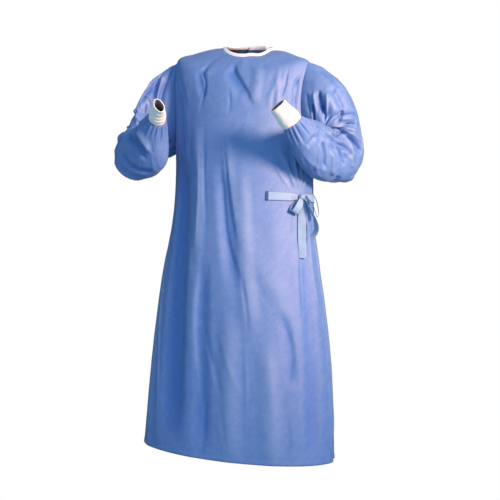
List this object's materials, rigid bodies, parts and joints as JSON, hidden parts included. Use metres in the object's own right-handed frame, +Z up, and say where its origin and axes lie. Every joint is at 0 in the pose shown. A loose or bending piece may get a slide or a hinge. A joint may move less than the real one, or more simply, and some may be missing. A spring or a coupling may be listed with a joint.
{
  "type": "surgical gown",
  "caption": "Worn wrap-over gown: flared hollow body, full sleeves gathered into knit cuffs, bound neck, belt tied in a bow at the left front.",
  "frame": {"origin": "middle of the neck opening, level with the sides of the neck, where the wearer carries the gown", "axes": "+Z up, the front faces -Y, +X to the wearer's left"},
  "size_m": [0.7027, 0.4944, 1.2063],
  "materials": {
    "nonwoven": "soft non-woven, slight sheen",
    "belt": "soft non-woven, paler",
    "knit": "ribbed knit, matte",
    "tape": "folded tape, matte"
  },
  "bodies": {
    "root": {"body_front": "nonwoven", "body_back_left": "nonwoven", "body_back_right": "nonwoven", "sleeve_left": "nonwoven", "sleeve_right": "nonwoven", "cuff_left": "knit", "cuff_right": "knit", "neck_binding": "tape", "neck_patch": "tape", "belt_front": "belt", "belt_tack": "nonwoven", "belt_back": "belt", "belt_knot": "belt", "bow_loop_front": "belt", "bow_loop_side": "belt", "belt_tail_long": "belt", "belt_tail_short": "belt"}
  },
  "joints": []
}
